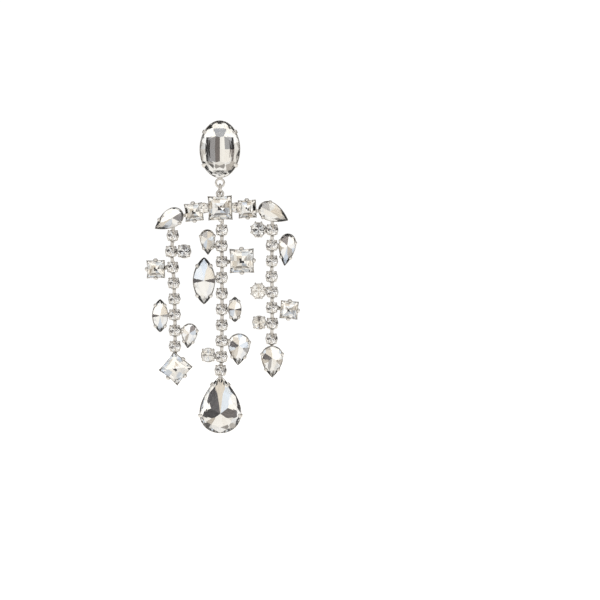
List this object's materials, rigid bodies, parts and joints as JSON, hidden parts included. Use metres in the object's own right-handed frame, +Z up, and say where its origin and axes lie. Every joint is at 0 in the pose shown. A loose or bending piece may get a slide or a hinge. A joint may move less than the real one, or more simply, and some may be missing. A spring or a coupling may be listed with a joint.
{
  "type": "chandelier earring",
  "caption": "Crystal chandelier drop earring: oval stud, jump ring, arch of set stones and three strands of cup chain with soldered side stones and large end drops.",
  "frame": {"origin": "middle of the ear post pad's back face, where the earring pins on the ear lobe", "axes": "+Z up along the hanging drop, -Y the front that the stones face, +Y along the post into the lobe, +X to the right of a viewer in front"},
  "size_m": [0.0496, 0.0193, 0.1],
  "materials": {
    "crystal": "cut and polished lead-glass crystal, silver-foiled behind",
    "rhodium_metal": "polished rhodium plate on brass"
  },
  "bodies": {
    "stud": {"ear_post": "rhodium_metal", "oval_setting": "rhodium_metal", "oval_stone": "crystal"},
    "link": {"jump_ring": "rhodium_metal"},
    "drop": {"arch_chaton_left_stone": "crystal", "arch_chaton_right_stone": "crystal", "arch_frame": "rhodium_metal", "arch_pear_left_stone": "crystal", "arch_pear_right_stone": "crystal", "arch_square_centre_stone": "crystal", "arch_square_left_stone": "crystal", "arch_square_right_stone": "crystal", "centre_strand_chaton_10_stone": "crystal", "centre_strand_chaton_1_stone": "crystal", "centre_strand_chaton_2_stone": "crystal", "centre_strand_chaton_3_stone": "crystal", "centre_strand_chaton_4_stone": "crystal", "centre_strand_chaton_5_stone": "crystal", "centre_strand_chaton_6_stone": "crystal", "centre_strand_chaton_7_stone": "crystal", "centre_strand_chaton_8_stone": "crystal", "centre_strand_chaton_9_stone": "crystal", "centre_strand_frame": "rhodium_metal", "centre_strand_navette_large_stone": "crystal", "centre_strand_navette_small_stone": "crystal", "centre_strand_pear_drop_stone": "crystal", "centre_strand_pear_small_stone": "crystal", "centre_strand_pear_stone": "crystal", "centre_strand_round_stone": "crystal", "centre_strand_square_stone": "crystal", "left_strand_chaton_1_stone": "crystal", "left_strand_chaton_2_stone": "crystal", "left_strand_chaton_3_stone": "crystal", "left_strand_chaton_4_stone": "crystal", "left_strand_chaton_5_stone": "crystal", "left_strand_chaton_6_stone": "crystal", "left_strand_chaton_7_stone": "crystal", "left_strand_chaton_8_stone": "crystal", "left_strand_frame": "rhodium_metal", "left_strand_navette_stone": "crystal", "left_strand_pear_stone": "crystal", "left_strand_round_stone": "crystal", "left_strand_square_drop_stone": "crystal", "left_strand_square_stone": "crystal", "right_strand_chaton_1_stone": "crystal", "right_strand_chaton_2_stone": "crystal", "right_strand_chaton_3_stone": "crystal", "right_strand_chaton_4_stone": "crystal", "right_strand_chaton_5_stone": "crystal", "right_strand_chaton_6_stone": "crystal", "right_strand_chaton_7_stone": "crystal", "right_strand_chaton_8_stone": "crystal", "right_strand_frame": "rhodium_metal", "right_strand_pear_drop_stone": "crystal", "right_strand_pear_stone": "crystal", "right_strand_round_low_stone": "crystal", "right_strand_round_middle_stone": "crystal", "right_strand_round_top_stone": "crystal", "right_strand_square_stone": "crystal"}
  },
  "joints": [
    {"name": "link_swing", "type": "hinge", "parent": "stud", "child": "link", "pos_m": [0, -0.00373, -0.0145], "axis": [1, 0, 0], "range_deg": [-90, 90]},
    {"name": "drop_swing", "type": "hinge", "parent": "link", "child": "drop", "pos_m": [0, -0.00373, -0.01648], "axis": [0, 1, 0], "range_deg": [-60, 60]}
  ]
}
